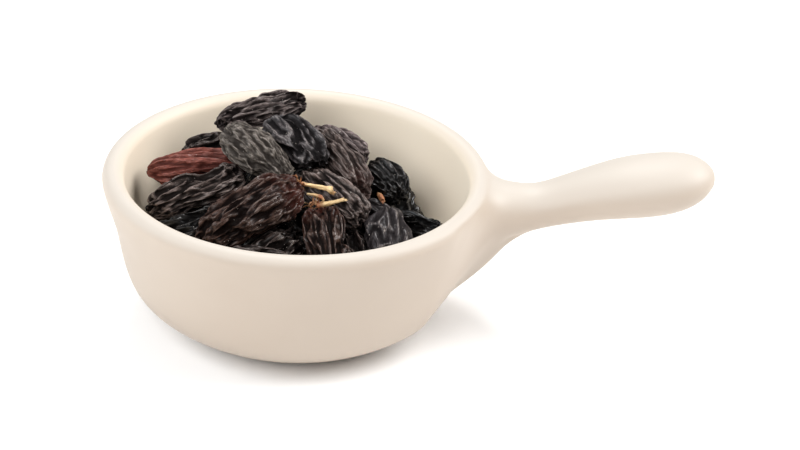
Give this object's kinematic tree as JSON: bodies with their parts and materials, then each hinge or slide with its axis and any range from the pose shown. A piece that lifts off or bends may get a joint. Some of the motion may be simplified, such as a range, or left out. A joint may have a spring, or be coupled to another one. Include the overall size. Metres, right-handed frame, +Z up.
{
  "type": "bowl of raisins",
  "caption": "Small cream glazed stoneware pan with a solid rounded handle, heaped with large dark wrinkled raisins, some still with dry stalks.",
  "frame": {"origin": "centre of the bowl's flat base, on the surface it stands on", "axes": "+X along the handle away from the bowl, +Z up out of the bowl"},
  "size_m": [0.132, 0.084, 0.0415],
  "materials": {
    "cream_glaze": "smooth glossy cream glaze",
    "dark_raisin": "wrinkled dried skin, satin",
    "grey_raisin": "finely wrinkled dried skin with pale bloom",
    "red_raisin": "wrinkled dried skin, satin",
    "dry_stalk": "dry fibrous straw"
  },
  "bodies": {
    "root": {"bowl": "cream_glaze", "raisin_01_top": "dark_raisin", "raisin_02_grey": "grey_raisin", "raisin_03_red": "red_raisin", "raisin_04_back_left": "dark_raisin", "raisin_05_left": "dark_raisin", "raisin_06_front_left": "dark_raisin", "raisin_07_big": "dark_raisin", "raisin_08_front": "dark_raisin", "raisin_09_stalked": "dark_raisin", "raisin_10_low_front": "dark_raisin", "raisin_11_middle": "dark_raisin", "raisin_12_blunt": "dark_raisin", "raisin_13_right_end": "dark_raisin", "raisin_14_right": "dark_raisin", "raisin_15_back_right": "dark_raisin", "raisin_16_long": "dark_raisin", "raisin_17_brown": "dark_raisin", "raisin_18_low_right": "dark_raisin", "raisin_19_low_middle": "dark_raisin", "raisin_20_buried": "dark_raisin", "raisin_21_buried": "dark_raisin", "raisin_22_buried": "dark_raisin", "raisin_23_buried": "dark_raisin", "raisin_24_buried": "dark_raisin", "raisin_25_buried": "dark_raisin", "raisin_26_buried": "dark_raisin", "raisin_27_buried": "dark_raisin", "raisin_28_buried": "dark_raisin", "raisin_29_buried": "dark_raisin", "raisin_30_buried": "dark_raisin", "raisin_31_buried": "dark_raisin", "raisin_32_buried": "dark_raisin", "raisin_33_buried": "dark_raisin", "raisin_34_buried": "dark_raisin", "raisin_35_buried": "dark_raisin", "raisin_36_buried": "dark_raisin", "raisin_37_buried": "dark_raisin", "raisin_38_buried": "dark_raisin", "raisin_39_buried": "dark_raisin", "raisin_40_buried": "dark_raisin", "raisin_41_buried": "dark_raisin", "raisin_42_buried": "dark_raisin", "raisin_43_buried": "dark_raisin", "raisin_44_buried": "dark_raisin", "stalk_crown": "dry_stalk", "stalk_long": "dry_stalk", "stalk_stub": "dry_stalk", "stalk_twig": "dry_stalk"}
  },
  "joints": []
}
